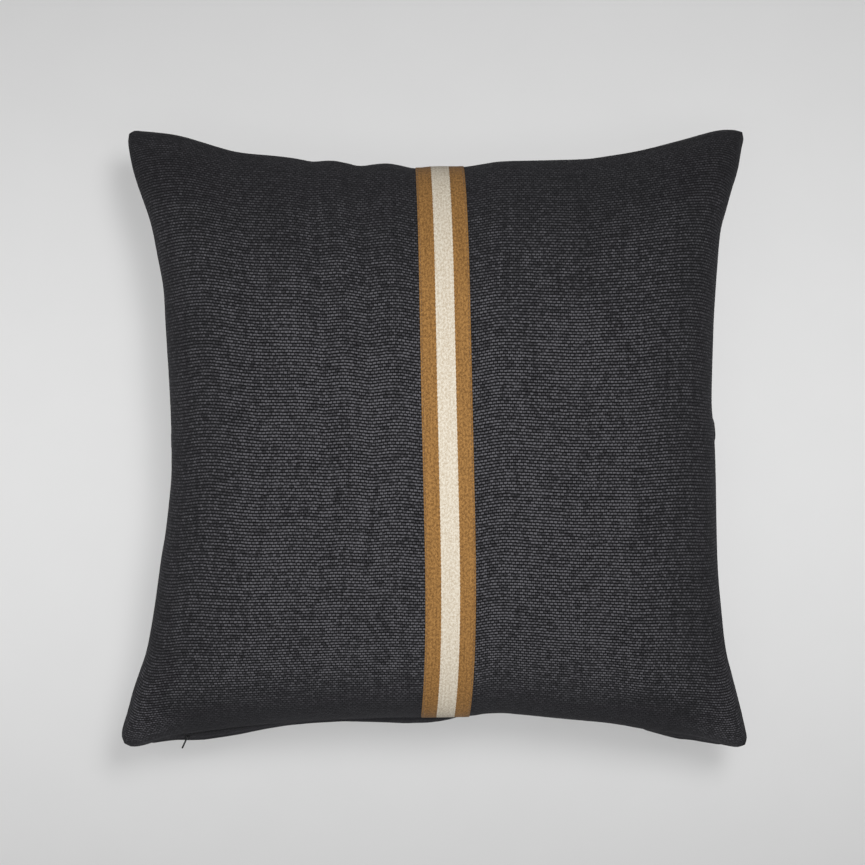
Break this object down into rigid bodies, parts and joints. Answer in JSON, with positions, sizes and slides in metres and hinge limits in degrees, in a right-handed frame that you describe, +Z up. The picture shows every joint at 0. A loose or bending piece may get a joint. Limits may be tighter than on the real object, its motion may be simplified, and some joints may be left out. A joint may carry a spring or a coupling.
{
  "type": "throw pillow",
  "caption": "Square throw pillow: a charcoal woven cover with a brown and cream stripe band down the front, a concealed zip in the lower seam, and a filled inner cushion.",
  "frame": {"origin": "centre of the flat on the back panel that the pillow rests on", "axes": "+Z up out of the front panel, +X along the zipped seam with the closed slider at its -X end, +Y from the zipped seam to the opposite seam"},
  "size_m": [0.492, 0.486, 0.1485],
  "materials": {
    "cover_cloth": "matte",
    "band": "matte",
    "band_thread": "matte",
    "cover_thread": "matte",
    "zip_tape": "matte",
    "zip_coil": "satin",
    "zip_metal": "satin",
    "label": "satin",
    "casing": "matte",
    "casing_thread": "matte",
    "fill": "matte"
  },
  "bodies": {
    "cushion": {"front_panel": "cover_cloth", "back_panel": "cover_cloth", "stripe_band": "band", "band_stitch_left": "band_thread", "band_stitch_right": "band_thread", "seam_overlock_left": "cover_thread", "seam_overlock_top": "cover_thread", "seam_overlock_right": "cover_thread", "care_label": "label", "zip_tape_front": "zip_tape", "zip_tape_back": "zip_tape", "zip_coil_front": "zip_coil", "zip_coil_back": "zip_coil", "zip_top_stop_front": "zip_metal", "zip_top_stop_back": "zip_metal", "zip_bottom_stop": "zip_metal", "insert_front_panel": "casing", "insert_back_panel": "casing", "insert_overlock_left": "casing_thread", "insert_overlock_top": "casing_thread", "insert_overlock_right": "casing_thread", "insert_overlock_bottom": "casing_thread", "insert_label": "label", "insert_fill": "fill"},
    "slider": {"zip_slider": "zip_metal"},
    "pull_tab": {"zip_pull_tab": "zip_metal"}
  },
  "joints": [
    {"name": "slider_travel", "type": "hinge", "parent": "cushion", "child": "slider", "pos_m": [0, -1.49175, 0.062], "axis": [0, 0, -1], "range_deg": [0, 17.75]},
    {"name": "pull_tab_swing", "type": "hinge", "parent": "slider", "child": "pull_tab", "pos_m": [-0.19602, -0.23601, 0.062], "axis": [0, 0, 1], "range_deg": [-59, 120]}
  ]
}
